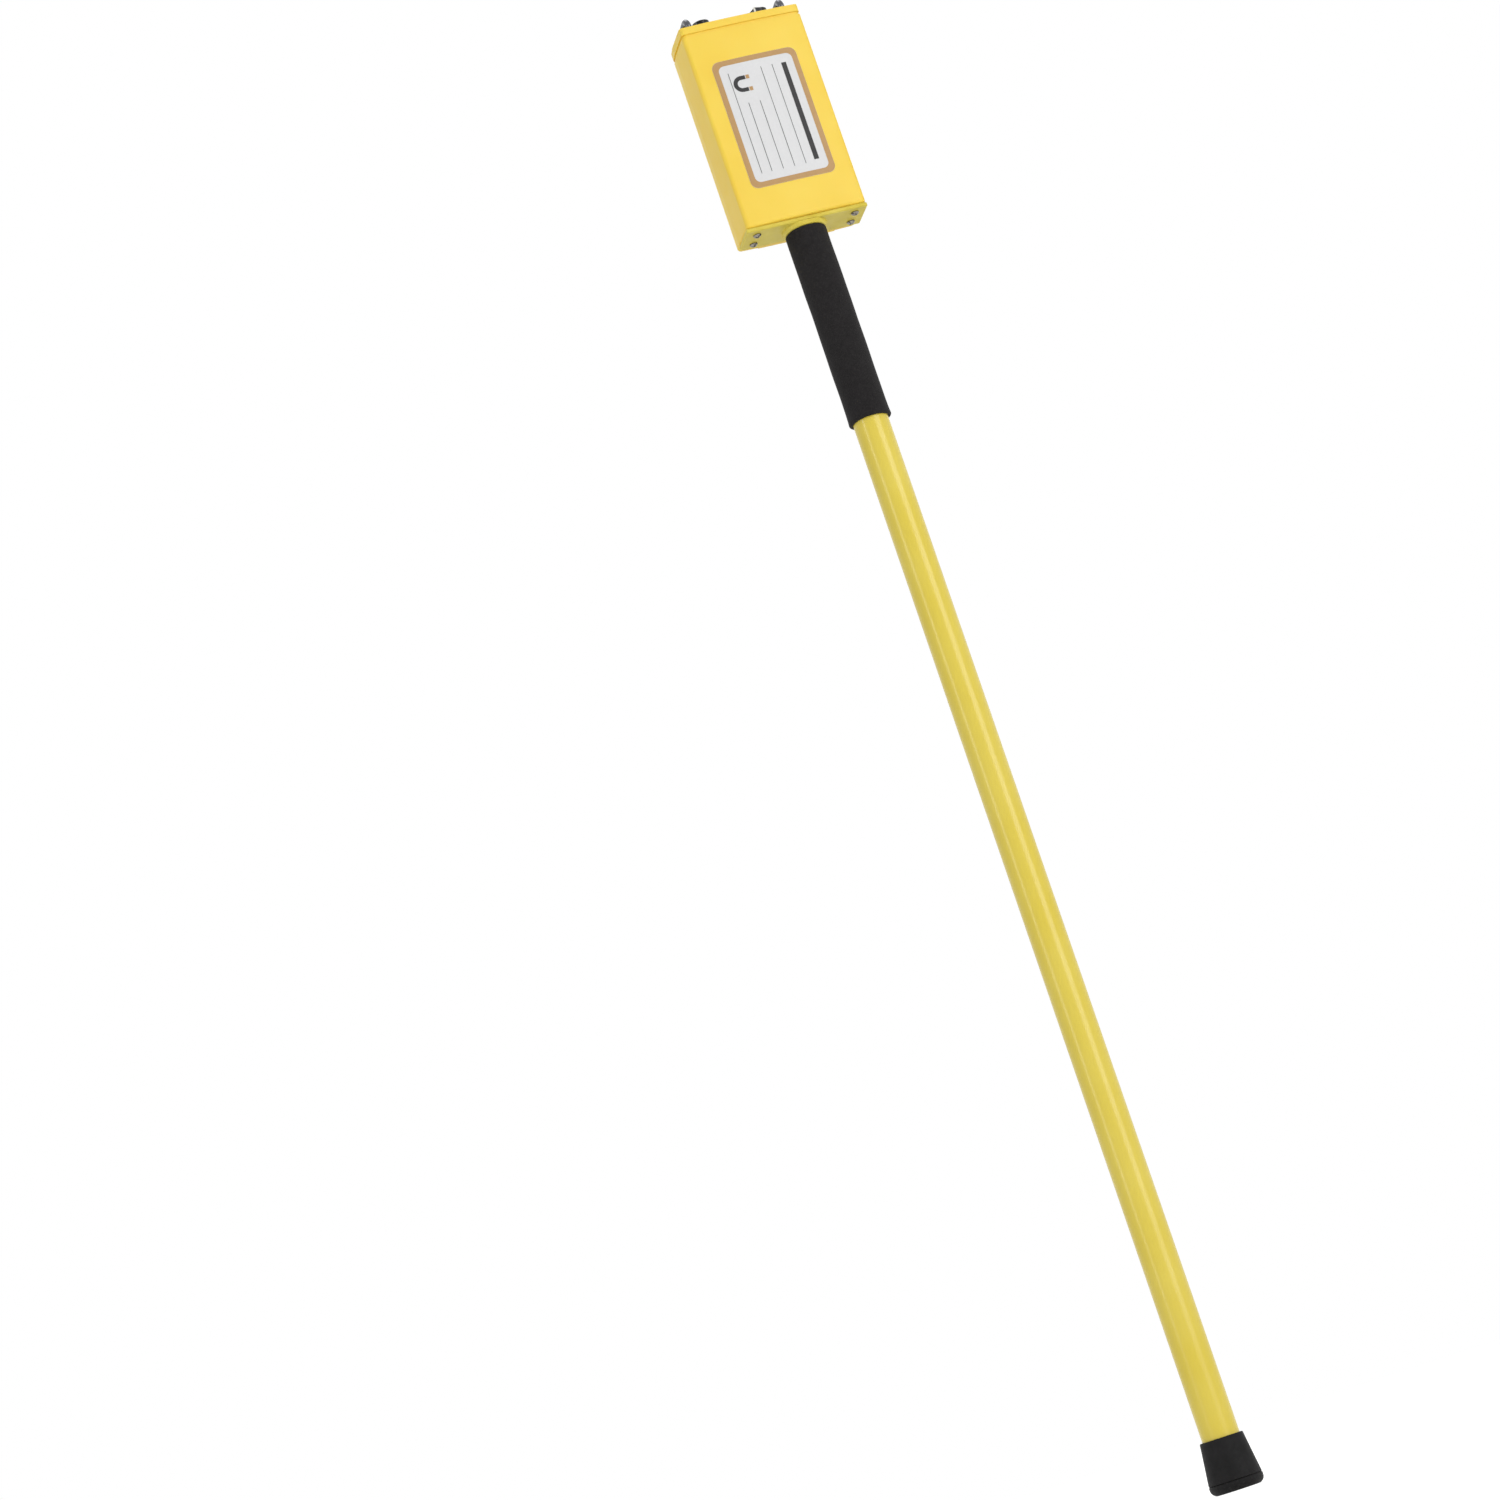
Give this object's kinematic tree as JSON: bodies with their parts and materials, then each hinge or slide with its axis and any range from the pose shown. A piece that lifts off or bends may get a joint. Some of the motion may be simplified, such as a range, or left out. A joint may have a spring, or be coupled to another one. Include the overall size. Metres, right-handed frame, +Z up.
{
  "type": "magnetic locator",
  "caption": "Hand-held magnetic locator: a recessed control head with guard handles and pointer knobs, on a painted sensor tube with a foam grip and a rubber tip.",
  "frame": {"origin": "middle of the rubber tip's flat bottom face, on the tube's axis", "axes": "+Z up along the tube to the head, -Y out of the labelled front face, +X to the right of someone who looks at that face"},
  "size_m": [0.091, 0.045, 1.085],
  "materials": {
    "yellow_shell": "moulded, satin, faint stipple",
    "yellow_paint": "semi-gloss enamel over metal",
    "foam": "closed-cell foam, dull",
    "tip_rubber": "moulded, dull",
    "brushed_panel": "brushed along the panel, clear anodised",
    "overlay": "printed film, semi-matte",
    "chrome_rod": "polished",
    "knob_plastic": "moulded, low gloss",
    "spun_cap": "spun in circles",
    "zinc": "zinc plated",
    "nickel": "nickel plated",
    "steel_shaft": "ground",
    "clear_lamp": "clear, domed",
    "black_plastic": "moulded",
    "board_green": "solder mask on glass laminate",
    "battery_case": "printed steel jacket",
    "sensor_can": "drawn can",
    "carrier_plastic": "extruded rod",
    "lead_jacket": "jacketed lead",
    "speaker_black": "pressed frame and cone",
    "label_print": "printed film, white with a tan border"
  },
  "bodies": {
    "locator": {"front_shell": "yellow_shell", "back_shell": "yellow_shell", "end_plate": "yellow_paint", "weld_collar": "yellow_paint", "pole_tube": "yellow_paint", "foam_grip": "foam", "rubber_tip": "tip_rubber", "control_panel": "brushed_panel", "panel_overlay": "overlay", "handle_left": "chrome_rod", "handle_right": "chrome_rod", "handle_screws": "zinc", "end_plate_screws": "nickel", "shell_screws": "zinc", "sensitivity_switch": "black_plastic", "volume_control": "black_plastic", "sensitivity_nut": "nickel", "volume_nut": "nickel", "sensitivity_washer": "nickel", "volume_washer": "nickel", "led_lamp": "clear_lamp", "led_retainer": "black_plastic", "circuit_board": "board_green", "board_screws": "zinc", "lead_connector": "black_plastic", "sensor_lead": "lead_jacket", "battery_left": "battery_case", "battery_right": "battery_case", "battery_snaps": "black_plastic", "speaker": "speaker_black", "tube_plug": "tip_rubber", "sensor_carrier": "carrier_plastic", "lower_sensor": "sensor_can", "upper_sensor": "sensor_can", "carrier_spacers": "foam", "front_label": "label_print"},
    "sensitivity": {"sensitivity_knob": "knob_plastic", "sensitivity_knob_cap": "spun_cap", "sensitivity_shaft": "steel_shaft", "sensitivity_set_screw": "zinc"},
    "volume": {"volume_knob": "knob_plastic", "volume_knob_cap": "spun_cap", "volume_shaft": "steel_shaft", "volume_set_screw": "zinc"},
    "door": {"battery_door": "yellow_shell"}
  },
  "joints": [
    {"name": "sensitivity_turn", "type": "hinge", "parent": "locator", "child": "sensitivity", "pos_m": [0.0219, 0.0053, 1.066], "axis": [0, 0, 1], "range_deg": [-120, 30]},
    {"name": "volume_turn", "type": "hinge", "parent": "locator", "child": "volume", "pos_m": [-0.0219, 0.0053, 1.066], "axis": [0, 0, 1], "range_deg": [-120, 0]},
    {"name": "door_slide", "type": "slide", "parent": "locator", "child": "door", "axis": [0, 0, -1], "range_m": [0, 0.05]}
  ]
}
